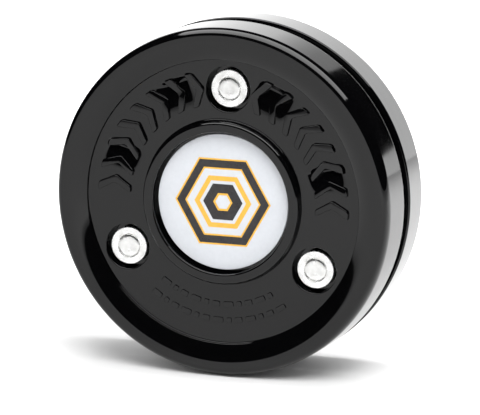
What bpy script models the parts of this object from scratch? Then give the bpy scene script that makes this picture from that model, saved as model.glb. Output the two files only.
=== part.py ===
"""A hockey training puck in two halves, held loosely together by three rivets.

The puck stands on its rim, as a wheel does. Its axis lies along Y and its labelled front
face looks towards -Y. The origin is on the floor, under the middle of the puck. Everything
is built round the puck's own axis, which is the local Z of the empty puck_axis, with the
front half on its +Z side, and the empty then stands the whole puck up. Sizes are in metres.
"""

from math import cos, pi, radians, sin, tau

import bmesh
import bpy
from mathutils import Matrix

# The puck as a whole: the regulation size, 3 inches across and 1 inch thick.
PUCK_RADIUS = 0.0381
PUCK_THICKNESS = 0.0254
HALF_GAP = 0.0005  # half of the open gap between the two halves
OUTER_FACE = PUCK_THICKNESS / 2  # height of each half's rim land over the middle of the puck

# The rim: rounded edges, a flat land and a bulging inner side down to the channel.
OUTER_EDGE_ROUND = 0.0012
INNER_EDGE_ROUND = 0.0011
LAND_INNER_RADIUS = 0.0341
CHANNEL_OUTER_RADIUS = 0.0309
CHANNEL_FLOOR = OUTER_FACE - 0.0022

# The boss in the middle, with the recess that holds the label.
BOSS_FOOT_RADIUS = 0.0183
BOSS_TOP_RADIUS = 0.0172
BOSS_TOP = OUTER_FACE - 0.00025
RECESS_RADIUS = 0.0155
RECESS_EDGE_ROUND = 0.0004
RECESS_FLOOR = OUTER_FACE - 0.0028

# The labels, each a printed disc of plastic glued into its recess.
LABEL_RADIUS = 0.0148
LABEL_THICKNESS = 0.0004
LABEL_GLUE = 0.0001

# The rivets, on one circle round the axis, and the stepped bores that they float in.
RIVET_COUNT = 3
RIVET_CIRCLE_RADIUS = 0.0247
FIRST_RIVET_ANGLE = radians(87.2)  # from the puck's +X, turning anticlockwise on the front
HEAD_TOP = OUTER_FACE - 0.0030
WASHER_RADIUS = 0.00415
WASHER_THICKNESS = 0.0013
WASHER_EDGE_ROUND = 0.0005
WASHER_BORE_RADIUS = 0.0021
SINK_RADIUS = 0.0025  # the washer's bore where it meets the washer's top
SINK_DEPTH = 0.0007
PIN_RADIUS = 0.0019
PIN_FLARE_RADIUS = 0.0023  # the pin's formed end, wider than the washer's bore
PIN_CROWN_RADIUS = 0.0016  # where the crown of the formed end starts to fall away
PIN_CROWN = 0.0001
HEAD_PLAY = 0.0005  # from each washer down to the floor of its pocket
POCKET_RADIUS = 0.0050
POCKET_FLOOR = HEAD_TOP - WASHER_THICKNESS - HEAD_PLAY
BORE_RADIUS = 0.0026

# How finely round shapes are divided.
PUCK_STEPS = 72
RIVET_STEPS = 28
MERGE_DISTANCE = 0.00001

# Colour, roughness and metallic value of each finish.
FINISHES = {
    "black_plastic": ((0.012, 0.012, 0.013, 1.0), 0.12, 0.0),
    "rivet_steel": ((0.80, 0.80, 0.79, 1.0), 0.25, 1.0),
    "label_print": ((0.84, 0.86, 0.90, 1.0), 0.20, 0.0),
}


def clear_scene():
    """Remove whatever the scene holds."""
    for obj in list(bpy.data.objects):
        bpy.data.objects.remove(obj, do_unlink=True)


def new_collection(name):
    """Make a collection under the scene."""
    collection = bpy.data.collections.new(name)
    bpy.context.scene.collection.children.link(collection)
    return collection


def new_material(name, finish):
    """Make a Principled material for one piece."""
    colour, roughness, metallic = FINISHES[finish]
    material = bpy.data.materials.new(name)
    material.use_nodes = True
    shader = material.node_tree.nodes["Principled BSDF"]
    shader.inputs["Base Color"].default_value = colour
    shader.inputs["Roughness"].default_value = roughness
    shader.inputs["Metallic"].default_value = metallic
    material.diffuse_color = colour
    return material


def quarter_round(centre, radii, start, end, steps):
    """Points (radius, height) along an elliptical arc, from one angle in degrees to another."""
    points = []
    for step in range(steps + 1):
        angle = radians(start + (end - start) * step / steps)
        points.append((centre[0] + radii[0] * cos(angle), centre[1] + radii[1] * sin(angle)))
    return points


def half_profile():
    """The section of one half, from its axis over the outer face, down the side and back."""
    boss_run = BOSS_FOOT_RADIUS - BOSS_TOP_RADIUS
    boss_rise = BOSS_TOP - CHANNEL_FLOOR
    bulge_run = LAND_INNER_RADIUS - CHANNEL_OUTER_RADIUS
    bulge_drop = OUTER_FACE - CHANNEL_FLOOR
    recess_edge = (RECESS_RADIUS + RECESS_EDGE_ROUND, BOSS_TOP - RECESS_EDGE_ROUND)
    edge_out, edge_in = OUTER_EDGE_ROUND, INNER_EDGE_ROUND
    return [
        (0.0, RECESS_FLOOR),
        (RECESS_RADIUS, RECESS_FLOOR),
        *quarter_round(recess_edge, (RECESS_EDGE_ROUND, RECESS_EDGE_ROUND), 180, 90, 2),
        *quarter_round((BOSS_TOP_RADIUS, CHANNEL_FLOOR), (boss_run, boss_rise), 90, 0, 4),
        *quarter_round((LAND_INNER_RADIUS, CHANNEL_FLOOR), (bulge_run, bulge_drop), 180, 90, 5),
        *quarter_round((PUCK_RADIUS - edge_out, OUTER_FACE - edge_out), (edge_out, edge_out), 90, 0, 4),
        *quarter_round((PUCK_RADIUS - edge_in, HALF_GAP + edge_in), (edge_in, edge_in), 0, -90, 3),
        (0.0, HALF_GAP),
    ]


def label_profile():
    """The section of a label: a thin disc with a slightly rounded edge."""
    bottom = RECESS_FLOOR + LABEL_GLUE
    top = bottom + LABEL_THICKNESS
    edge = LABEL_THICKNESS / 4
    return [
        (0.0, top),
        (LABEL_RADIUS - edge, top),
        (LABEL_RADIUS, top - edge),
        (LABEL_RADIUS, bottom),
        (0.0, bottom),
    ]


def bore_profile():
    """The section of a rivet's bore: a pocket at each outer face and a plain hole between."""
    beyond = OUTER_FACE + HEAD_PLAY
    return [
        (0.0, beyond),
        (POCKET_RADIUS, beyond),
        (POCKET_RADIUS, POCKET_FLOOR),
        (BORE_RADIUS, POCKET_FLOOR),
        (BORE_RADIUS, -POCKET_FLOOR),
        (POCKET_RADIUS, -POCKET_FLOOR),
        (POCKET_RADIUS, -beyond),
        (0.0, -beyond),
    ]


def pin_profile():
    """The section of a rivet's pin, flared and slightly crowned at both ends."""
    neck = HEAD_TOP - SINK_DEPTH
    end = [
        (0.0, HEAD_TOP + PIN_CROWN),
        (PIN_CROWN_RADIUS, HEAD_TOP + PIN_CROWN / 2),
        (PIN_FLARE_RADIUS, HEAD_TOP - PIN_CROWN),
        (PIN_RADIUS, neck),
    ]
    return end + [(radius, -height) for radius, height in reversed(end)]


def washer_profile():
    """The closed section of a washer, countersunk for the pin and rounded at its rim."""
    bottom = HEAD_TOP - WASHER_THICKNESS
    edge = WASHER_EDGE_ROUND
    return [
        (SINK_RADIUS, HEAD_TOP),
        *quarter_round((WASHER_RADIUS - edge, HEAD_TOP - edge), (edge, edge), 90, 0, 3),
        (WASHER_RADIUS, bottom),
        (WASHER_BORE_RADIUS, bottom),
        (WASHER_BORE_RADIUS, HEAD_TOP - SINK_DEPTH),
    ]


def turned(name, profile, steps, collection, ring=False):
    """Turn a section round its axis with a Screw modifier.

    The radii are grown a little, so that the flats of the turned shape, and not only its
    corners, reach the true circle. Half a step of turn puts a flat, not a corner, lowest.
    """
    grow = 1 / cos(pi / steps)
    mesh = bpy.data.meshes.new(name)
    outline = bmesh.new()
    points = [outline.verts.new((radius * grow, 0.0, height)) for radius, height in profile]
    for first, second in zip(points, points[1:]):
        outline.edges.new((first, second))
    if ring:
        outline.edges.new((points[-1], points[0]))
    bmesh.ops.rotate(outline, verts=outline.verts, matrix=Matrix.Rotation(pi / steps, 3, "Z"))
    outline.to_mesh(mesh)
    outline.free()
    obj = bpy.data.objects.new(name, mesh)
    collection.objects.link(obj)
    screw = obj.modifiers.new("Turned", "SCREW")
    screw.axis = "Z"
    screw.angle = tau
    screw.steps = steps
    screw.render_steps = steps
    screw.use_merge_vertices = True
    screw.merge_threshold = MERGE_DISTANCE
    screw.use_smooth_shade = True
    return obj


def on_rivet_circle(number):
    """The place of a rivet, counted from 0, on the circle of rivets."""
    angle = FIRST_RIVET_ANGLE + tau * number / RIVET_COUNT
    return (RIVET_CIRCLE_RADIUS * cos(angle), RIVET_CIRCLE_RADIUS * sin(angle), 0.0)


def place(obj, axis, location=(0.0, 0.0, 0.0), to_back=False):
    """Stand a piece on the puck's axis; one for the back is turned over about the local X."""
    obj.parent = axis
    obj.location = location
    obj.rotation_euler = (pi if to_back else 0.0, 0.0, 0.0)


def make_axis(collection):
    """The empty that stands the puck up on its rim, facing -Y."""
    axis = bpy.data.objects.new("puck_axis", None)
    axis.location = (0.0, 0.0, PUCK_RADIUS)
    axis.rotation_euler = (radians(90), 0.0, 0.0)
    collection.objects.link(axis)
    return axis


def make_bores(axis, collection):
    """The cutters for the rivets' stepped bores, which go through both halves."""
    cutters = []
    for number in range(RIVET_COUNT):
        cutter = turned(f"rivet_bore_{number + 1}", bore_profile(), RIVET_STEPS, collection)
        place(cutter, axis, on_rivet_circle(number))
        cutter.hide_render = True
        cutter.display_type = "WIRE"
        cutters.append(cutter)
    return cutters


def make_half(side, axis, cutters, collection):
    """One half of the puck, with the three bores cut through it."""
    disc = turned(f"{side}_disc", half_profile(), PUCK_STEPS, collection)
    place(disc, axis, to_back=side == "back")
    for cutter in cutters:
        bore = disc.modifiers.new(cutter.name, "BOOLEAN")
        bore.operation = "DIFFERENCE"
        bore.solver = "EXACT"
        bore.object = cutter
    disc.data.materials.append(new_material(disc.name, "black_plastic"))


def make_label(side, axis, collection):
    """The label in one half's recess."""
    label = turned(f"{side}_label", label_profile(), PUCK_STEPS, collection)
    place(label, axis, to_back=side == "back")
    label.data.materials.append(new_material(label.name, "label_print"))


def make_rivet(number, axis, collection):
    """One rivet: a pin with a formed end at each face, and the washer under each end."""
    location = on_rivet_circle(number)
    pin = turned(f"rivet_pin_{number + 1}", pin_profile(), RIVET_STEPS, collection)
    place(pin, axis, location)
    pin.data.materials.append(new_material(pin.name, "rivet_steel"))
    for side in ("front", "back"):
        name = f"{side}_washer_{number + 1}"
        washer = turned(name, washer_profile(), RIVET_STEPS, collection, ring=True)
        place(washer, axis, location, to_back=side == "back")
        washer.data.materials.append(new_material(name, "rivet_steel"))


def main():
    """Build the puck."""
    clear_scene()
    puck = new_collection("training_puck")
    cutting = new_collection("cutters")
    axis = make_axis(puck)
    cutters = make_bores(axis, cutting)
    for side in ("front", "back"):
        make_half(side, axis, cutters, puck)
        make_label(side, axis, puck)
    for number in range(RIVET_COUNT):
        make_rivet(number, axis, puck)


main()
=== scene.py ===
"""Looks of the hockey training puck: two glossy black halves that float on three steel rivets.

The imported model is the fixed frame, in metres. The puck stands on its rim, with its axis along Y and
its labelled front face towards -Y. Every new piece is drawn round the puck's own axis, local Z, with
its outer face up, and is then carried to its place in the frame, so that each object stays at the
origin. The classes go from the small to the large: tools for turned shapes, finishes, the pieces of
the puck, and the studio that it stands in.
"""

import logging
from dataclasses import dataclass, field, replace
from enum import Enum
from math import atan2, cos, degrees, pi, radians, sin, tau

import bmesh
import bpy
from mathutils import Matrix, Vector


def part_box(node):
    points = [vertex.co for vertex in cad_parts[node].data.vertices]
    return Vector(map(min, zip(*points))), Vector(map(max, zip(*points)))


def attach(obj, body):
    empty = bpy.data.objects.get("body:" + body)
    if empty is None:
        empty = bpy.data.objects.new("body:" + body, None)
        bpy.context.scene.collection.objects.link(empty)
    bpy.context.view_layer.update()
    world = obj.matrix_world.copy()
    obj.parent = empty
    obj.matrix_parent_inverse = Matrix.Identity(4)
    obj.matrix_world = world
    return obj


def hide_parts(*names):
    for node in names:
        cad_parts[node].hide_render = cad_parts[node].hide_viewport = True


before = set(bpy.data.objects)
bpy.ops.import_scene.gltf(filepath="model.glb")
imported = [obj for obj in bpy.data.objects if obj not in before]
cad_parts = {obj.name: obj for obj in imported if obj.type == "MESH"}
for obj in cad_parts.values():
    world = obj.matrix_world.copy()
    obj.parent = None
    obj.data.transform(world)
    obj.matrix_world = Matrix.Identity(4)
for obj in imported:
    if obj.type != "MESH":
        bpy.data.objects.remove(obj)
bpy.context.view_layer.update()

LOG = logging.getLogger("training_puck")
MILLIMETRE = 0.001
MERGE_DISTANCE = 1e-6
SUPPORT = 0.05 * MILLIMETRE  # how far from a corner a flat gets its extra ring of points


class Side(Enum):
    """The two faces of the puck."""

    FRONT = "front"
    BACK = "back"

    @property
    def body(self) -> str:
        """The name of the body that holds this side's half."""
        return f"{self.value}_half"


# ---------------------------------------------------------------- turned shapes


class Section:
    """The outline of a turned shape, drawn point by point as (radius, height)."""

    def __init__(self, radius: float, height: float) -> None:
        """Start the outline.

        Args:
            radius: distance of the first point from the axis.
            height: height of the first point along the axis.
        """
        self.points: list[Vector] = [Vector((radius, height))]

    def line(self, radius: float, height: float) -> "Section":
        """Draw a straight run, with a support point close to each end to keep its shading flat.

        Args:
            radius: distance of the run's end from the axis.
            height: height of the run's end.

        Returns:
            The section itself, so that calls can be chained.
        """
        start, end = self.points[-1], Vector((radius, height))
        along = end - start
        if along.length > 4 * SUPPORT:
            step = along.normalized() * SUPPORT
            if start.x > SUPPORT:
                self.points.append(start + step)
            if radius > SUPPORT:
                self.points.append(end - step)
        self.points.append(end)
        return self

    def arc(self, centre: tuple[float, float], radii: tuple[float, float], start: float, end: float,
            steps: int = 8) -> "Section":
        """Draw an elliptical arc.

        Args:
            centre: (radius, height) of the ellipse's centre.
            radii: half its width and half its height.
            start: first angle, in degrees anticlockwise from outwards.
            end: last angle.
            steps: number of straight pieces in the arc.

        Returns:
            The section itself.
        """
        for step in range(steps + 1):
            angle = radians(start + (end - start) * step / steps)
            point = Vector((centre[0] + radii[0] * cos(angle), centre[1] + radii[1] * sin(angle)))
            if (point - self.points[-1]).length > MERGE_DISTANCE:
                self.points.append(point)
        return self

    def roll_off(self, radius: float, height: float, power: float, steps: int = 24,
                 gather: float = 1.5) -> "Section":
        """Draw a curve that rises steeply at first and is level where it ends.

        Args:
            radius: distance of the curve's end from the axis.
            height: height of its end.
            power: how suddenly it levels; 2 makes a parabola.
            steps: number of straight pieces.
            gather: how closely the points gather towards the end; 1 spaces them evenly.

        Returns:
            The section itself.
        """
        start = self.points[-1]
        for step in range(1, steps + 1):
            left = (1.0 - step / steps) ** gather
            across = radius - (radius - start.x) * left
            self.points.append(Vector((across, height - (height - start.y) * left**power)))
        return self


def turn(mesh: bmesh.types.BMesh, section: Section, steps: int, centre: Vector | None = None,
         closed: bool = False) -> None:
    """Spin a section once round an axis parallel to Z, adding the surface to a mesh.

    Args:
        mesh: the mesh that receives the surface.
        section: the outline to spin.
        steps: how many steps make the full turn.
        centre: a point on the axis; the origin if left out.
        closed: whether the outline's last point joins its first.
    """
    centre = centre or Vector((0.0, 0.0, 0.0))
    verts = [mesh.verts.new((centre.x + point.x, centre.y, point.y)) for point in section.points]
    pairs = list(zip(verts, verts[1:]))
    if closed:
        pairs.append((verts[-1], verts[0]))
    edges = [mesh.edges.new(pair) for pair in pairs]
    bmesh.ops.spin(mesh, geom=verts + edges, cent=centre, axis=(0.0, 0.0, 1.0), dvec=(0.0, 0.0, 0.0),
                   angle=tau, steps=steps, use_merge=True, use_normal_flip=False, use_duplicate=False)


def open_edges_at(mesh: bmesh.types.BMesh, height: float) -> list[bmesh.types.BMEdge]:
    """Find the edges of a flat opening.

    Args:
        mesh: the mesh to look through.
        height: height of the opening along Z.

    Returns:
        The edges with one face only, both of whose ends lie at that height.
    """
    return [edge for edge in mesh.edges if len(edge.link_faces) == 1
            and all(abs(vert.co.z - height) < MERGE_DISTANCE for vert in edge.verts)]


def finish_mesh(mesh: bmesh.types.BMesh, name: str, place: Matrix, crease: float = 35.0) -> bpy.types.Object:
    """Close, orient and place a mesh, and make it an object at the origin.

    Args:
        mesh: the shape, drawn round the puck's own axis. It is freed.
        name: the object's name.
        place: carries the shape into the frame.
        crease: angle in degrees above which an edge stays sharp.

    Returns:
        The new object.
    """
    bmesh.ops.remove_doubles(mesh, verts=mesh.verts, dist=MERGE_DISTANCE)
    bmesh.ops.transform(mesh, matrix=place, verts=mesh.verts)
    bmesh.ops.recalc_face_normals(mesh, faces=mesh.faces)
    data = bpy.data.meshes.new(name)
    mesh.to_mesh(data)
    mesh.free()
    data.shade_smooth()
    data.set_sharp_from_angle(angle=radians(crease))
    piece = bpy.data.objects.new(name, data)
    bpy.context.scene.collection.objects.link(piece)
    return piece


def install(piece: bpy.types.Object, material: bpy.types.Material, body: str, node: str) -> None:
    """Dress a piece, hang it on its body and hide the CAD node that it stands for.

    Args:
        piece: the finished object.
        material: its material.
        body: the CAD body that carries it.
        node: the CAD node that it stands for.
    """
    piece.data.materials.append(material)
    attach(piece, body)
    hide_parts(node)
    LOG.info("%s: %d faces, on %s, for %s", piece.name, len(piece.data.polygons), body, node)


# ---------------------------------------------------------------- finishes


class NodeSheet:
    """A material's node tree, with short calls for the nodes that the finishes use."""

    def __init__(self, name: str) -> None:
        """Start a Principled material.

        Args:
            name: the material's name.
        """
        self.material = bpy.data.materials.new(name)
        self.material.use_nodes = True
        self.tree = self.material.node_tree
        self.shader = self.tree.nodes["Principled BSDF"]

    def node(self, kind: str, **settings: object) -> bpy.types.Node:
        """Add a node.

        Args:
            kind: Blender's name for the type of node.
            settings: the node's properties, by name.

        Returns:
            The new node.
        """
        made = self.tree.nodes.new(kind)
        for key, value in settings.items():
            setattr(made, key, value)
        return made

    def link(self, source: bpy.types.NodeSocket, target: bpy.types.NodeSocket) -> None:
        """Join two sockets."""
        self.tree.links.new(source, target)

    def math(self, operation: str, *values: object) -> bpy.types.NodeSocket:
        """Add a Math node.

        Args:
            operation: the node's operation.
            values: a number or a socket for each input.

        Returns:
            The node's output.
        """
        made = self.node("ShaderNodeMath", operation=operation)
        for socket, value in zip(made.inputs, values):
            if isinstance(value, bpy.types.NodeSocket):
                self.link(value, socket)
            else:
                socket.default_value = value
        return made.outputs[0]

    def place(self, centre: Vector = Vector()) -> bpy.types.NodeSocket:
        """Add Object coordinates measured from a centre.

        Args:
            centre: the point that reads as zero.

        Returns:
            The coordinates.
        """
        coordinates = self.node("ShaderNodeTexCoord")
        mapping = self.node("ShaderNodeMapping", vector_type="POINT")
        mapping.inputs["Location"].default_value = -centre
        self.link(coordinates.outputs["Object"], mapping.inputs["Vector"])
        return mapping.outputs["Vector"]

    def noise(self, vector: bpy.types.NodeSocket, scale: float, detail: float = 2.0,
              roughness: float = 0.5) -> bpy.types.NodeSocket:
        """Add a Noise Texture node.

        Args:
            vector: the coordinates that it reads.
            scale: cells per metre.
            detail: octaves of finer noise.
            roughness: strength of the finer octaves.

        Returns:
            The node's factor.
        """
        made = self.node("ShaderNodeTexNoise")
        made.inputs["Scale"].default_value = scale
        made.inputs["Detail"].default_value = detail
        made.inputs["Roughness"].default_value = roughness
        self.link(vector, made.inputs["Vector"])
        return made.outputs["Fac"]

    def spread(self, value: bpy.types.NodeSocket, low: float, high: float, to_low: float,
               to_high: float) -> bpy.types.NodeSocket:
        """Map a value from one range to another, clamped.

        Args:
            value: the value to map.
            low: the value that gives to_low.
            high: the value that gives to_high.
            to_low: the result at the low end.
            to_high: the result at the high end.

        Returns:
            The mapped value.
        """
        made = self.node("ShaderNodeMapRange")
        self.link(value, made.inputs["Value"])
        for name, number in zip(("From Min", "From Max", "To Min", "To Max"), (low, high, to_low, to_high)):
            made.inputs[name].default_value = number
        return made.outputs["Result"]

    def mix(self, factor: bpy.types.NodeSocket, first: object, second: object) -> bpy.types.NodeSocket:
        """Mix two colours, each given as a socket or as red, green and blue.

        Args:
            factor: share of the second colour.
            first: the colour at a factor of 0.
            second: the colour at a factor of 1.

        Returns:
            The mixed colour.
        """
        made = self.node("ShaderNodeMix", data_type="RGBA")
        self.link(factor, made.inputs["Factor"])
        for socket, value in ((made.inputs[6], first), (made.inputs[7], second)):
            if isinstance(value, bpy.types.NodeSocket):
                self.link(value, socket)
            else:
                socket.default_value = (*value, 1.0)
        return made.outputs[2]

    def bump(self, height: bpy.types.NodeSocket, distance: float, strength: float = 1.0) -> None:
        """Raise the surface by a height field.

        Args:
            height: the field, from 0 to 1.
            distance: the rise at a height of 1, in metres.
            strength: how strongly the shading follows it.
        """
        made = self.node("ShaderNodeBump")
        made.inputs["Distance"].default_value = distance
        made.inputs["Strength"].default_value = strength
        self.link(height, made.inputs["Height"])
        self.link(made.outputs["Normal"], self.shader.inputs["Normal"])

    def set(self, **values: object) -> None:
        """Set the shader's sockets, with underscores in their names for spaces."""
        for key, value in values.items():
            self.shader.inputs[key.replace("_", " ")].default_value = value


@dataclass(frozen=True)
class BlackPlastic:
    """Glossy black moulded polycarbonate, with faint flow in its gloss and dust-fine scuffs."""

    colour: tuple[float, float, float] = (0.0012, 0.0012, 0.0014)
    scuffed: tuple[float, float, float] = (0.004, 0.004, 0.0045)
    gloss: float = 0.035
    dull: float = 0.085
    index: float = 1.44
    flow_scale: float = 60.0
    scuff_scale: float = 900.0
    ripple_scale: float = 260.0
    ripple: float = 0.004 * MILLIMETRE

    def material(self, name: str) -> bpy.types.Material:
        """Build the material.

        Args:
            name: the material's name.

        Returns:
            The material.
        """
        sheet = NodeSheet(name)
        place = sheet.place()
        cloud = sheet.noise(place, self.flow_scale, 3.0)
        fine = sheet.noise(place, self.scuff_scale, 4.0, 0.65)
        scuffs = sheet.spread(fine, 0.62, 0.80, 0.0, 1.0)
        sheet.link(sheet.mix(scuffs, self.colour, self.scuffed), sheet.shader.inputs["Base Color"])
        sheet.link(sheet.spread(cloud, 0.35, 0.70, self.gloss, self.dull), sheet.shader.inputs["Roughness"])
        sheet.bump(sheet.noise(place, self.ripple_scale, 1.0), self.ripple, 0.35)
        sheet.set(IOR=self.index)
        return sheet.material


@dataclass(frozen=True)
class RivetSteel:
    """Bright steel, faced in the lathe and lightly pitted."""

    colour: tuple[float, float, float] = (0.93, 0.93, 0.92)
    worn: tuple[float, float, float] = (0.78, 0.78, 0.76)
    bright: float = 0.22
    rough: float = 0.38
    ring_pitch: float = 0.09 * MILLIMETRE
    ring_height: float = 0.12
    blotch_scale: float = 420.0
    pit_scale: float = 1500.0
    pit_depth: float = 0.006 * MILLIMETRE

    def material(self, name: str, centre: Vector) -> bpy.types.Material:
        """Build the material for one rivet.

        Args:
            name: the material's name.
            centre: a point on the rivet's own axis, for the turning marks.

        Returns:
            The material.
        """
        sheet = NodeSheet(name)
        place = sheet.place(centre)
        parts = sheet.node("ShaderNodeSeparateXYZ")
        sheet.link(place, parts.inputs[0])
        across = sheet.math("POWER", parts.outputs["X"], 2.0)
        up = sheet.math("POWER", parts.outputs["Z"], 2.0)
        reach = sheet.math("SQRT", sheet.math("ADD", across, up))
        rings = sheet.math("SINE", sheet.math("MULTIPLY", reach, tau / self.ring_pitch))
        blotch = sheet.noise(place, self.blotch_scale, 4.0, 0.6)
        pits = sheet.spread(sheet.noise(place, self.pit_scale, 3.0), 0.58, 0.72, 0.0, 1.0)
        wear = sheet.spread(blotch, 0.45, 0.70, 0.0, 1.0)
        polish = sheet.spread(blotch, 0.35, 0.70, self.bright, self.rough)
        sheet.link(sheet.mix(wear, self.colour, self.worn), sheet.shader.inputs["Base Color"])
        sheet.link(polish, sheet.shader.inputs["Roughness"])
        height = sheet.math("SUBTRACT", sheet.math("MULTIPLY", rings, self.ring_height), pits)
        sheet.bump(height, self.pit_depth, 0.5)
        sheet.set(Metallic=1.0)
        return sheet.material


@dataclass(frozen=True)
class PrintedFilm:
    """One colour of a glossy printed label: the white film or an ink on it."""

    colour: tuple[float, float, float]
    thin: tuple[float, float, float]
    gloss: float = 0.16
    dull: float = 0.26
    index: float = 1.48
    cover_scale: float = 1400.0
    flow_scale: float = 180.0
    grain_scale: float = 700.0
    grain: float = 0.003 * MILLIMETRE

    def material(self, name: str) -> bpy.types.Material:
        """Build the material.

        Args:
            name: the material's name.

        Returns:
            The material.
        """
        sheet = NodeSheet(name)
        place = sheet.place()
        cover = sheet.spread(sheet.noise(place, self.cover_scale, 3.0), 0.35, 0.65, 0.0, 1.0)
        sheet.link(sheet.mix(cover, self.thin, self.colour), sheet.shader.inputs["Base Color"])
        flow = sheet.noise(place, self.flow_scale, 3.0)
        sheet.link(sheet.spread(flow, 0.3, 0.7, self.gloss, self.dull), sheet.shader.inputs["Roughness"])
        sheet.bump(sheet.noise(place, self.grain_scale, 2.0), self.grain, 0.3)
        sheet.set(IOR=self.index)
        return sheet.material


@dataclass(frozen=True)
class FloorPaper:
    """White seamless paper."""

    white: tuple[float, float, float] = (0.90, 0.90, 0.90)
    grain_scale: float = 900.0
    grain_tint: float = 0.985

    def material(self) -> bpy.types.Material:
        """Build the paper.

        Returns:
            The material.
        """
        sheet = NodeSheet("floor_paper")
        place = sheet.place()
        grain = sheet.noise(place, self.grain_scale, 2.0)
        tint = tuple(part * self.grain_tint for part in self.white)
        sheet.link(sheet.mix(grain, tint, self.white), sheet.shader.inputs["Base Color"])
        sheet.set(Roughness=0.9, Specular_IOR_Level=0.0)
        return sheet.material


# ---------------------------------------------------------------- the puck


@dataclass
class PuckAxis:
    """Where the puck's axis lies in the frame, read from the two halves."""

    centre: Vector = field(init=False)
    radius: float = field(init=False)
    outer_face: float = field(init=False)
    half_gap: float = field(init=False)

    def __post_init__(self) -> None:
        """Measure the halves."""
        front_low, front_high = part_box("front_disc")
        back_low, back_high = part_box("back_disc")
        self.centre = (front_low + back_high) / 2
        self.radius = (front_high.x - front_low.x) / 2
        self.outer_face = (back_high.y - front_low.y) / 2
        self.half_gap = (back_low.y - front_high.y) / 2

    def place(self, side: Side) -> Matrix:
        """The matrix that carries a shape drawn round the axis, outer face up, to its side."""
        stand = Matrix.Translation(self.centre) @ Matrix.Rotation(radians(90), 4, "X")
        return stand if side is Side.FRONT else stand @ Matrix.Rotation(pi, 4, "X")

    def rivet_centre(self, number: int) -> Vector:
        """Find a rivet's place across the front face, drawn round the axis.

        Args:
            number: the rivet, counted from 1.

        Returns:
            Its place, at a height of 0.
        """
        low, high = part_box(f"rivet_pin_{number}")
        middle = (low + high) / 2 - self.centre
        return Vector((middle.x, middle.z, 0.0))


@dataclass(frozen=True)
class SinkMark:
    """A shallow hollow in the channel's floor, where thick plastic drew in as it cooled.

    The floor falls evenly towards one side of the mark, and rises again quickly there. The angle is
    the mark's place round the axis and facing is the way that its floor falls, both in degrees.
    Deepest and blend are shares of its height and length.
    """

    angle: float
    radius: float
    facing: float
    length: float = 9.6 * MILLIMETRE
    height: float = 8.0 * MILLIMETRE
    depth: float = 0.95 * MILLIMETRE
    deepest: float = 0.78
    blend: float = 0.24
    cells: int = 36

    @property
    def place(self) -> Matrix:
        """Work out the mark's place.

        Returns:
            The matrix that carries a square of one unit, whose Y is the way the floor falls, there.
        """
        round_to = radians(self.angle)
        middle = Vector((self.radius * cos(round_to), self.radius * sin(round_to), 0.0))
        turned = Matrix.Rotation(radians(self.facing - 90), 4, "Z")
        return Matrix.Translation(middle) @ turned @ Matrix.Diagonal((self.length, self.height, 1.0, 1.0))

    def drop(self, point: Vector) -> float:
        """Work out how far the floor has sunk.

        Args:
            point: a place drawn round the axis.

        Returns:
            The floor's drop under it, which is 0 outside the mark.
        """
        spot = self.place.inverted() @ Vector((point.x, point.y, 0.0))
        across, along = 0.5 - abs(spot.x), spot.y + 0.5
        if across <= 0.0 or not 0.0 < along < 1.0:
            return 0.0
        side = 0.5 - 0.5 * cos(pi * min(across / self.blend, 1.0))
        if along < self.deepest:
            part = along / self.deepest
            fall = part * part * (3.0 - part) / 2.0
        else:
            fall = 0.5 + 0.5 * cos(pi * (along - self.deepest) / (1.0 - self.deepest))
        return self.depth * side * fall

    def add(self, mesh: bmesh.types.BMesh, floor: float) -> None:
        """Add the mark's patch of floor to a half.

        Args:
            mesh: the half's mesh.
            floor: height of the channel's floor.
        """
        grid = bmesh.ops.create_grid(mesh, x_segments=self.cells, y_segments=self.cells, size=0.5)["verts"]
        bmesh.ops.transform(mesh, matrix=self.place, verts=grid)
        for vert in grid:
            vert.co.z = floor - self.drop(vert.co)


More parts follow.
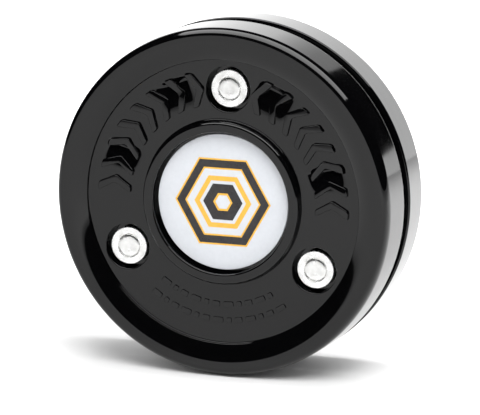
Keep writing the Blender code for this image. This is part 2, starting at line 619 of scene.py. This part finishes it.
@dataclass
class PuckHalf:
    """One half of the puck: a single moulding, turned, with a stepped bore for each rivet."""

    axis: PuckAxis
    side: Side
    steps: int = 256
    bore_steps: int = 80
    rivets: int = 3
    draft: float = 0.22 * MILLIMETRE
    outer_edge: tuple[float, float] = (1.5 * MILLIMETRE, 2.5 * MILLIMETRE)
    inner_edge: float = 0.45 * MILLIMETRE
    groove_width: float = 1.35 * MILLIMETRE
    groove_depth: float = 1.4 * MILLIMETRE
    land_inner: float = 35.3 * MILLIMETRE
    crown_power: float = 1.7
    crown_drop: float = 1.35 * MILLIMETRE
    crown_lean: float = 27.0
    wall_edge: float = 0.2 * MILLIMETRE
    channel_outer: float = 31.0 * MILLIMETRE
    channel_depth: float = 2.2 * MILLIMETRE
    rim_fillet: float = 0.3 * MILLIMETRE
    boss_fillet: float = 0.25 * MILLIMETRE
    boss_foot: float = 18.2 * MILLIMETRE
    boss_top: float = 17.1 * MILLIMETRE
    boss_sink: float = 0.25 * MILLIMETRE
    recess: float = 15.45 * MILLIMETRE
    recess_edge: float = 0.4 * MILLIMETRE
    recess_depth: float = 2.8 * MILLIMETRE
    pocket: float = 5.0 * MILLIMETRE
    pocket_edge: float = 0.2 * MILLIMETRE
    pocket_depth: float = 4.8 * MILLIMETRE
    bore: float = 2.6 * MILLIMETRE
    bore_edge: float = 0.2 * MILLIMETRE
    sink_marks: tuple[SinkMark, ...] = (
        SinkMark(160.0, 24.9 * MILLIMETRE, 74.0, height=6.6 * MILLIMETRE),
        SinkMark(114.0, 25.0 * MILLIMETRE, 112.0),
        SinkMark(64.0, 25.0 * MILLIMETRE, 68.0),
        SinkMark(15.0, 24.7 * MILLIMETRE, 102.0, height=6.6 * MILLIMETRE),
    )

    @property
    def floor(self) -> float:
        """Height of the channel's floor over the middle of the puck."""
        return self.axis.outer_face - self.channel_depth

    def middle_section(self) -> Section:
        """Draw the middle of the face.

        Returns:
            The section from the axis over the label's recess and the boss to the channel's floor.
        """
        face = self.axis.outer_face
        top, bottom, edge = face - self.boss_sink, face - self.recess_depth, self.recess_edge
        run, rise = self.boss_foot - self.boss_top, top - self.floor
        fillet = self.boss_fillet
        section = Section(0.0, bottom).line(self.recess, bottom).line(self.recess, top - edge)
        section.arc((self.recess + edge, top - edge), (edge, edge), 180, 90, 6)
        section.line(self.boss_top, top)
        section.arc((self.boss_top, self.floor + fillet), (run - fillet, rise - fillet), 90, 0, 12)
        section.arc((self.boss_foot, self.floor + fillet), (fillet, fillet), 180, 270, 5)
        return section.line(self.boss_foot + fillet + SUPPORT, self.floor)

    def rim_section(self) -> Section:
        """Draw the rim.

        Returns:
            The section from the channel's floor over the rim and down the side to the mating face.
        """
        face, low, fillet = self.axis.outer_face, self.axis.half_gap, self.rim_fillet
        radius, (across, down), edge = self.axis.radius, self.outer_edge, self.inner_edge
        narrow, wall, corner = radius - self.draft, self.channel_outer, self.wall_edge
        foot, step = low + self.groove_width, radius - self.groove_depth
        lean = radians(self.crown_lean)
        section = Section(wall - fillet - SUPPORT, self.floor)
        section.points.append(Vector((wall - fillet, self.floor)))
        section.arc((wall - fillet, self.floor + fillet), (fillet, fillet), 270, 360, 5)
        middle = face - self.crown_drop - corner * cos(lean)
        section.arc((wall + corner, middle), (corner, corner), 180, 90 + self.crown_lean, 5)
        section.roll_off(self.land_inner, face, self.crown_power)
        section.line(narrow - across, face)
        section.arc((narrow - across, face - down), (across, down), 90, 0, 20)
        section.line(radius, foot + edge)
        section.arc((radius - edge, foot + edge), (edge, edge), 0, -90, 8)
        section.line(step, foot).line(step, low + edge)
        section.arc((step - edge, low + edge), (edge, edge), 0, -90, 6)
        section.points.append(Vector((step - edge - SUPPORT, low)))
        return section

    def bore_section(self) -> Section:
        """Draw one rivet's pocket and bore.

        Returns:
            The section from the channel's floor down the pocket and the bore to the mating face.
        """
        seat = self.axis.outer_face - self.pocket_depth
        edge, rim, low = self.pocket_edge, self.bore_edge, self.axis.half_gap
        section = Section(self.pocket + edge + SUPPORT, self.floor)
        section.points.append(Vector((self.pocket + edge, self.floor)))
        section.arc((self.pocket + edge, self.floor - edge), (edge, edge), 90, 180, 5)
        section.line(self.pocket, seat).line(self.bore + rim, seat)
        section.arc((self.bore + rim, seat - rim), (rim, rim), 90, 180, 4)
        section.line(self.bore, low + rim)
        section.arc((self.bore + rim, low + rim), (rim, rim), 180, 270, 4)
        section.points.append(Vector((self.bore + rim + SUPPORT, low)))
        return section

    @property
    def turned(self) -> float:
        """How far this half is turned round the axis from the front one, its twin, in degrees."""
        here, front = self.rivet_places()[0], self.axis.rivet_centre(1)
        return degrees(atan2(here.y, here.x) - atan2(front.y, front.x))

    def marks(self) -> list[SinkMark]:
        """The half's sink marks, turned with it."""
        turned = self.turned
        return [replace(mark, angle=mark.angle + turned, facing=mark.facing + turned)
                for mark in self.sink_marks]

    def rivet_places(self) -> list[Vector]:
        """Find where the rivets stand.

        Returns:
            Their places, drawn round the axis with this side's outer face up.
        """
        places = [self.axis.rivet_centre(number + 1) for number in range(self.rivets)]
        if self.side is Side.BACK:
            places = [Vector((place.x, -place.y, 0.0)) for place in places]
        return places

    def build(self) -> bpy.types.Object:
        """Model the half as one closed mesh.

        Returns:
            The half's object, in place.
        """
        mesh = bmesh.new()
        turn(mesh, self.middle_section(), self.steps)
        turn(mesh, self.rim_section(), self.steps)
        for place in self.rivet_places():
            turn(mesh, self.bore_section(), self.bore_steps, place)
        for mark in self.marks():
            mark.add(mesh, self.floor)
        bmesh.ops.remove_doubles(mesh, verts=mesh.verts, dist=MERGE_DISTANCE)
        for height, up in ((self.floor, 1.0), (self.axis.half_gap, -1.0)):
            bmesh.ops.triangle_fill(mesh, edges=open_edges_at(mesh, height), use_beauty=True,
                                    use_dissolve=False, normal=(0.0, 0.0, up))
        return finish_mesh(mesh, f"{self.side.value}_moulding", self.axis.place(self.side))

    def make(self, finish: BlackPlastic) -> None:
        """Build the half, dress it and hand it to the frame.

        Args:
            finish: the plastic that it is moulded in.
        """
        material = finish.material(f"{self.side.value}_black_plastic")
        install(self.build(), material, self.side.body, f"{self.side.value}_disc")


@dataclass
class GripPattern:
    """The raised pattern on a channel's floor: bold chevrons, and two fine rows of dashes."""

    half: PuckHalf
    middle_radius: float = 24.8 * MILLIMETRE
    height: float = 7.4 * MILLIMETRE
    stroke: float = 1.7 * MILLIMETRE
    lean: float = 2.1 * MILLIMETRE
    rise: float = 0.65 * MILLIMETRE
    root: float = 0.6 * MILLIMETRE
    corner: float = 0.45 * MILLIMETRE
    crown: float = 0.5 * MILLIMETRE
    left_arc: tuple[float, float] = (104.0, 174.0)
    right_arc: tuple[float, float] = (70.4, 0.4)
    chevrons: int = 8
    dash_rows: tuple[float, ...] = (22.4 * MILLIMETRE, 25.9 * MILLIMETRE)
    dash_arc: tuple[float, float] = (232.0, 302.0)
    dash_lengths: tuple[float, ...] = (2.3 * MILLIMETRE, 1.1 * MILLIMETRE, 1.7 * MILLIMETRE)
    dash_space: float = 0.8 * MILLIMETRE
    dash_width: float = 1.2 * MILLIMETRE
    dash_rise: float = 0.22 * MILLIMETRE
    bevel_segments: int = 4

    def raised(self, mesh: bmesh.types.BMesh, outline: list[tuple[float, float]], radius: float,
               angle: float, rise: float, corner: float, crown: float) -> None:
        """Add one rounded, raised shape to the pattern.

        Args:
            mesh: the mesh that receives it.
            outline: its corners, as distances along the channel and outwards across it.
            radius: radius of the outline's zero.
            angle: place of the outline's zero round the channel, in degrees.
            rise: how high it stands over the channel's floor.
            corner: rounding of the outline's corners.
            crown: rounding of its upper edge.
        """
        shape = bmesh.new()
        face = shape.faces.new([shape.verts.new((x, y, -self.root)) for x, y in outline])
        bmesh.ops.bevel(shape, geom=list(face.verts), offset=corner, offset_type="OFFSET",
                        segments=self.bevel_segments, profile=0.5, affect="VERTICES",
                        clamp_overlap=True, material=-1)
        lifted = bmesh.ops.extrude_face_region(shape, geom=list(shape.faces))["geom"]
        top = [item for item in lifted if isinstance(item, bmesh.types.BMVert)]
        bmesh.ops.translate(shape, verts=top, vec=(0.0, 0.0, rise + self.root))
        high = rise - MERGE_DISTANCE
        upper = [edge for edge in shape.edges if all(vert.co.z > high for vert in edge.verts)]
        bmesh.ops.bevel(shape, geom=upper, offset=crown, offset_type="OFFSET",
                        segments=self.bevel_segments, profile=0.5, affect="EDGES",
                        clamp_overlap=True, material=-1)
        for vert in shape.verts:
            reach, turned = radius + vert.co.y, radians(angle) + vert.co.x / radius
            above = self.half.floor + vert.co.z
            vert.co = (reach * cos(turned), reach * sin(turned), above)
            vert.co.z -= sum(mark.drop(vert.co) for mark in self.half.sink_marks)
        data = bpy.data.meshes.new("raised")
        shape.to_mesh(data)
        shape.free()
        mesh.from_mesh(data)
        bpy.data.meshes.remove(data)

    def chevron(self, pointing: float) -> list[tuple[float, float]]:
        """Draw a chevron whose tip points along the channel.

        Args:
            pointing: 1 for a tip that points anticlockwise, and -1 for clockwise.

        Returns:
            Its corners, as distances along the channel and outwards across it.
        """
        reach = self.height / 2
        corners = [(0.0, -reach), (self.stroke, -reach), (self.stroke + self.lean, 0.0),
                   (self.stroke, reach), (0.0, reach), (self.lean, 0.0)]
        middle = (self.stroke + self.lean) / 2
        placed = [(pointing * (x - middle), y) for x, y in corners]
        return placed if pointing > 0 else placed[::-1]

    def add_chevrons(self, mesh: bmesh.types.BMesh) -> None:
        """Add both arcs of chevrons, one on each side of the first rivet.

        Args:
            mesh: the mesh that receives them.
        """
        for first, last in (self.left_arc, self.right_arc):
            pointing = -1.0 if last > first else 1.0
            for number in range(self.chevrons):
                angle = first + (last - first) * number / (self.chevrons - 1)
                self.raised(mesh, self.chevron(pointing), self.middle_radius, angle,
                            self.rise, self.corner, self.crown)

    def add_dashes(self, mesh: bmesh.types.BMesh) -> None:
        """Add the fine rows of dashes, whose lengths follow one another in turn.

        Args:
            mesh: the mesh that receives them.
        """
        across = self.dash_width / 2
        for radius in self.dash_rows:
            angle, number = radians(self.dash_arc[0]), 0
            while angle < radians(self.dash_arc[1]):
                length = self.dash_lengths[number % len(self.dash_lengths)]
                outline = [(0.0, -across), (length, -across), (length, across), (0.0, across)]
                self.raised(mesh, outline, radius, degrees(angle), self.dash_rise,
                            across / 2, self.dash_rise / 2)
                angle += (length + self.dash_space) / radius
                number += 1

    def make(self, finish: BlackPlastic) -> None:
        """Build the pattern, dress it and hand it to the frame as part of its half.

        Args:
            finish: the plastic that it is moulded in.
        """
        mesh = bmesh.new()
        self.add_chevrons(mesh)
        self.add_dashes(mesh)
        side, turned = self.half.side, Matrix.Rotation(radians(self.half.turned), 3, "Z")
        bmesh.ops.rotate(mesh, verts=mesh.verts, matrix=turned)
        piece = finish_mesh(mesh, f"{side.value}_grip_pattern", self.half.axis.place(side))
        material = finish.material(f"{side.value}_grip_plastic")
        install(piece, material, side.body, f"{side.value}_disc")


@dataclass
class Label:
    """A round white label, glued into its recess and printed with plain nested hexagons."""

    axis: PuckAxis
    side: Side
    steps: int = 192
    corners: int = 6
    edge: float = 0.12 * MILLIMETRE
    ink: float = 0.02 * MILLIMETRE
    gold_rings: tuple[tuple[float, float], ...] = (
        (10.5 * MILLIMETRE, 10.9 * MILLIMETRE),
        (8.2 * MILLIMETRE, 8.6 * MILLIMETRE),
        (5.3 * MILLIMETRE, 6.5 * MILLIMETRE),
        (1.7 * MILLIMETRE, 2.2 * MILLIMETRE),
    )
    black_rings: tuple[tuple[float, float], ...] = (
        (8.6 * MILLIMETRE, 10.5 * MILLIMETRE),
        (2.2 * MILLIMETRE, 4.5 * MILLIMETRE),
    )
    white: PrintedFilm = PrintedFilm((0.64, 0.66, 0.695), (0.62, 0.64, 0.675))
    gold: PrintedFilm = PrintedFilm((0.83, 0.46, 0.06), (0.78, 0.42, 0.05))
    black: PrintedFilm = PrintedFilm((0.014, 0.012, 0.013), (0.022, 0.020, 0.021))

    @property
    def node(self) -> str:
        """The CAD node that the label stands for."""
        return f"{self.side.value}_label"

    def install_layer(self, mesh: bmesh.types.BMesh, layer: str, finish: PrintedFilm) -> None:
        """Finish one layer of the label and hand it to the frame.

        Args:
            mesh: the layer's shape, drawn round the axis.
            layer: the layer's own word in its name.
            finish: its colour.
        """
        name = f"{self.node}_{layer}"
        piece = finish_mesh(mesh, name, self.axis.place(self.side))
        install(piece, finish.material(f"{name}_finish"), self.side.body, self.node)

    def make(self) -> None:
        """Build the film over its CAD disc, then print it."""
        low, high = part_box(self.node)
        radius = (high.x - low.x) / 2
        bottom, top = sorted(abs(corner.y - self.axis.centre.y) for corner in (low, high))
        section = Section(0.0, top).line(radius - self.edge, top)
        section.arc((radius - self.edge, top - self.edge), (self.edge, self.edge), 90, 0, 5)
        section.line(radius, bottom).line(0.0, bottom)
        film = bmesh.new()
        turn(film, section, self.steps)
        self.install_layer(film, "film", self.white)
        inks = (("gold", self.gold_rings, self.gold), ("black", self.black_rings, self.black))
        for layer, rings, finish in inks:
            print_mesh = bmesh.new()
            for inner, outer in rings:
                ring = Section(inner, top).line(inner, top + self.ink)
                ring.line(outer, top + self.ink).line(outer, top)
                turn(print_mesh, ring, self.corners, closed=True)
            self.install_layer(print_mesh, layer, finish)


@dataclass
class Rivet:
    """A steel rivet: a pin, flared and crowned at each end, through two sunk washers."""

    axis: PuckAxis
    number: int
    steps: int = 96
    pin: float = 1.9 * MILLIMETRE
    flare: float = 2.47 * MILLIMETRE
    crown: float = 0.1 * MILLIMETRE
    dimple: float = 1.2 * MILLIMETRE
    dimple_depth: float = 0.02 * MILLIMETRE
    flare_edge: float = 0.3 * MILLIMETRE
    sink: float = 2.5 * MILLIMETRE
    sink_depth: float = 0.7 * MILLIMETRE
    sink_edge: float = 0.18 * MILLIMETRE
    washer_bore: float = 2.1 * MILLIMETRE
    washer_edge: float = 0.22 * MILLIMETRE

    def pin_section(self, top: float) -> Section:
        """The pin's section, from its front end's middle to its back end's middle.

        Args:
            top: height of the washers' outer faces over the middle of the puck.

        Returns:
            The section.
        """
        edge, high, hollow = self.flare_edge, top + self.crown, self.dimple_depth
        section = Section(0.0, high - hollow)
        section.arc((0.0, high), (self.dimple, hollow), 270, 350, 8)
        section.arc((self.dimple, top), (self.flare - edge - self.dimple, self.crown), 90, 15, 8)
        section.arc((self.flare - edge, top - edge), (edge, edge), 80, -20, 8)
        section.line(self.pin, top - self.sink_depth)
        mirrored = [Vector((point.x, -point.y)) for point in reversed(section.points)]
        section.line(mirrored[0].x, mirrored[0].y)
        section.points.extend(mirrored[1:])
        return section

    def washer_section(self, top: float, bottom: float, radius: float) -> Section:
        """A washer's closed section: countersunk, and rounded at its rim.

        Args:
            top: height of its outer face.
            bottom: height of its inner face.
            radius: its outside radius.

        Returns:
            The section.
        """
        edge, lip = self.washer_edge, self.sink_edge
        section = Section(self.sink, top - lip)
        section.arc((self.sink + lip, top - lip), (lip, lip), 180, 90, 4)
        section.line(radius - edge, top)
        section.arc((radius - edge, top - edge), (edge, edge), 90, 0, 8)
        section.line(radius, bottom).line(self.washer_bore, bottom)
        return section.line(self.washer_bore, top - self.sink_depth)

    def make(self, finish: RivetSteel) -> None:
        """Build the pin and its two washers, dress them and hand them to the frame.

        Args:
            finish: the steel that all three are made of.
        """
        body, node = f"rivet_{self.number}", f"rivet_pin_{self.number}"
        low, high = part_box(node)
        centre = (low + high) / 2
        material = finish.material(f"rivet_{self.number}_steel", centre)
        top = (high.y - low.y) / 2 - self.crown
        spot = self.axis.rivet_centre(self.number)
        mesh = bmesh.new()
        turn(mesh, self.pin_section(top), self.steps, spot)
        piece = finish_mesh(mesh, f"rivet_{self.number}_turned_pin", self.axis.place(Side.FRONT))
        install(piece, material, body, node)
        for side in Side:
            node = f"{side.value}_washer_{self.number}"
            low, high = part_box(node)
            near, far = sorted(abs(corner.y - self.axis.centre.y) for corner in (low, high))
            mesh = bmesh.new()
            there = spot if side is Side.FRONT else Vector((spot.x, -spot.y, 0.0))
            section = self.washer_section(far, near, (high.x - low.x) / 2)
            turn(mesh, section, self.steps, there, closed=True)
            name = f"rivet_{self.number}_{side.value}_turned_washer"
            piece = finish_mesh(mesh, name, self.axis.place(side))
            install(piece, material, body, node)


# ---------------------------------------------------------------- the studio


def stage_mesh(mesh: bmesh.types.BMesh, name: str, material: bpy.types.Material) -> bpy.types.Object:
    """Make a mesh a piece of the studio, which isn't part of the object.

    Args:
        mesh: the shape. It is freed.
        name: the piece's name.
        material: its material.

    Returns:
        The new object.
    """
    data = bpy.data.meshes.new(name)
    mesh.to_mesh(data)
    mesh.free()
    piece = bpy.data.objects.new(name, data)
    bpy.context.scene.collection.objects.link(piece)
    piece.data.materials.append(material)
    return piece


@dataclass(frozen=True)
class Softbox:
    """A rectangular light, aimed at a point. Its strength is the brightness of its face."""

    name: str
    centre: tuple[float, float, float]
    target: tuple[float, float, float]
    width: float
    height: float
    strength: float
    spread: float = 180.0
    in_gloss: bool = True
    in_matt: bool = True

    def make(self) -> None:
        """Add the light to the scene."""
        data = bpy.data.lights.new(self.name, "AREA")
        data.shape = "RECTANGLE"
        data.size, data.size_y = self.width, self.height
        data.energy = self.strength * pi * self.width * self.height
        data.spread = radians(self.spread)
        lamp = bpy.data.objects.new(self.name, data)
        aim = Vector(self.target) - Vector(self.centre)
        pointed = aim.to_track_quat("-Z", "Y").to_matrix().to_4x4()
        lamp.matrix_world = Matrix.Translation(self.centre) @ pointed
        lamp.visible_camera = False
        lamp.visible_glossy = self.in_gloss
        lamp.visible_diffuse = self.in_matt
        bpy.context.scene.collection.objects.link(lamp)
        LOG.info("%s: %.2f by %.2f m", self.name, self.width, self.height)


@dataclass(frozen=True)
class GlowCard:
    """An upright, glowing card behind the puck, which the camera doesn't see.

    Its brightness changes from bright to dim along the direction fall, between the distances start
    and end from the origin.
    """

    name: str
    distance: float
    corners: tuple[tuple[float, float], ...]
    bright: float
    dim: float
    fall: tuple[float, float, float]
    start: float
    end: float

    def material(self) -> bpy.types.Material:
        """Build the card's glow.

        Returns:
            The material.
        """
        sheet = NodeSheet(self.name)
        along = sheet.node("ShaderNodeVectorMath", operation="DOT_PRODUCT")
        sheet.link(sheet.place(), along.inputs[0])
        along.inputs[1].default_value = self.fall
        level = sheet.spread(along.outputs["Value"], self.start, self.end, self.bright, self.dim)
        sheet.link(level, sheet.shader.inputs["Emission Strength"])
        sheet.set(Emission_Color=(1.0, 1.0, 1.0, 1.0), Base_Color=(0.0, 0.0, 0.0, 1.0),
                  Specular_IOR_Level=0.0)
        return sheet.material

    def make(self) -> None:
        """Add the card to the scene."""
        mesh = bmesh.new()
        mesh.faces.new([mesh.verts.new((x, self.distance, z)) for x, z in self.corners])
        card = stage_mesh(mesh, self.name, self.material())
        card.visible_camera = False
        card.visible_shadow = False


@dataclass
class Studio:
    """A white table in a plain white room, with a long lens at the puck's right."""

    axis: PuckAxis
    floor_size: float = 8.0
    azimuth: float = 20.2
    elevation: float = 11.9
    distance: float = 0.9
    focal_length: float = 311.9
    sensor: float = 36.0
    aim_down: float = 3.18 * MILLIMETRE
    aim_right: float = 0.08 * MILLIMETRE
    room_light: float = 0.70
    nearest: float = 0.01
    furthest: float = 20.0
    card: GlowCard = GlowCard("back_card", 1.0, ((-0.9, 0.0), (0.578, 0.0), (0.121, 0.56), (-0.9, 0.56)),
                              2.2, 1.0, (0.35, 0.0, 0.94), 0.39, 0.51)
    lights: tuple[Softbox, ...] = (
        Softbox("overhead_softbox", (0.10, -0.02, 0.75), (0.10, -0.02, 0.0), 1.24, 0.80, 5.0,
                in_matt=False),
        Softbox("key", (0.24, -0.46, 0.69), (0.0, 0.0, 0.03), 0.50, 0.50, 7.6, in_gloss=False),
        Softbox("rear_fill", (0.08, 0.03, 0.45), (0.08, 0.81, 0.0), 0.40, 0.15, 30.0, spread=140.0,
                in_gloss=False),
    )

    def make_floor(self) -> None:
        """Add the table."""
        mesh = bmesh.new()
        bmesh.ops.create_grid(mesh, x_segments=2, y_segments=2, size=self.floor_size / 2)
        stage_mesh(mesh, "floor", FloorPaper().material())

    def make_world(self) -> None:
        """Light the room: white to the camera, dimmer on matt surfaces and unseen in gloss."""
        world = bpy.data.worlds.new("soft_room")
        world.use_nodes = True
        nodes, links = world.node_tree.nodes, world.node_tree.links
        background = nodes["Background"]
        background.inputs["Color"].default_value = (1.0, 1.0, 1.0, 1.0)
        path = nodes.new("ShaderNodeLightPath")
        level = nodes.new("ShaderNodeMapRange")
        level.inputs["To Min"].default_value = self.room_light
        links.new(path.outputs["Is Camera Ray"], level.inputs["Value"])
        links.new(level.outputs["Result"], background.inputs["Strength"])
        world.cycles_visibility.glossy = False
        bpy.context.scene.world = world

    def make_camera(self) -> None:
        """Place the camera and make it the scene's own."""
        azimuth, elevation = radians(self.azimuth), radians(self.elevation)
        back = Vector((sin(azimuth) * cos(elevation), -cos(azimuth) * cos(elevation), sin(elevation)))
        right = Vector((cos(azimuth), sin(azimuth), 0.0))
        up = back.cross(right)
        target = self.axis.centre + right * self.aim_right - up * self.aim_down
        data = bpy.data.cameras.new("long_lens")
        data.sensor_width, data.lens = self.sensor, self.focal_length
        data.clip_start, data.clip_end = self.nearest, self.furthest
        camera = bpy.data.objects.new("camera", data)
        turned = Matrix((right, up, back)).transposed().to_4x4()
        camera.matrix_world = Matrix.Translation(target + back * self.distance) @ turned
        bpy.context.scene.collection.objects.link(camera)
        bpy.context.scene.camera = camera

    def make(self) -> None:
        """Build the whole studio."""
        self.make_floor()
        self.make_world()
        self.card.make()
        for light in self.lights:
            light.make()
        self.make_camera()
        bpy.context.scene.view_settings.view_transform = "Standard"


def main() -> None:
    """Build the puck's pieces and the studio, in order."""
    logging.basicConfig(level=logging.INFO, format="%(message)s")
    axis = PuckAxis()
    plastic, steel = BlackPlastic(), RivetSteel()
    for side in Side:
        half = PuckHalf(axis, side)
        half.make(plastic)
        GripPattern(half).make(plastic)
        Label(axis, side).make()
    for number in range(1, half.rivets + 1):
        Rivet(axis, number).make(steel)
    Studio(axis).make()


if __name__ == "__main__":
    main()
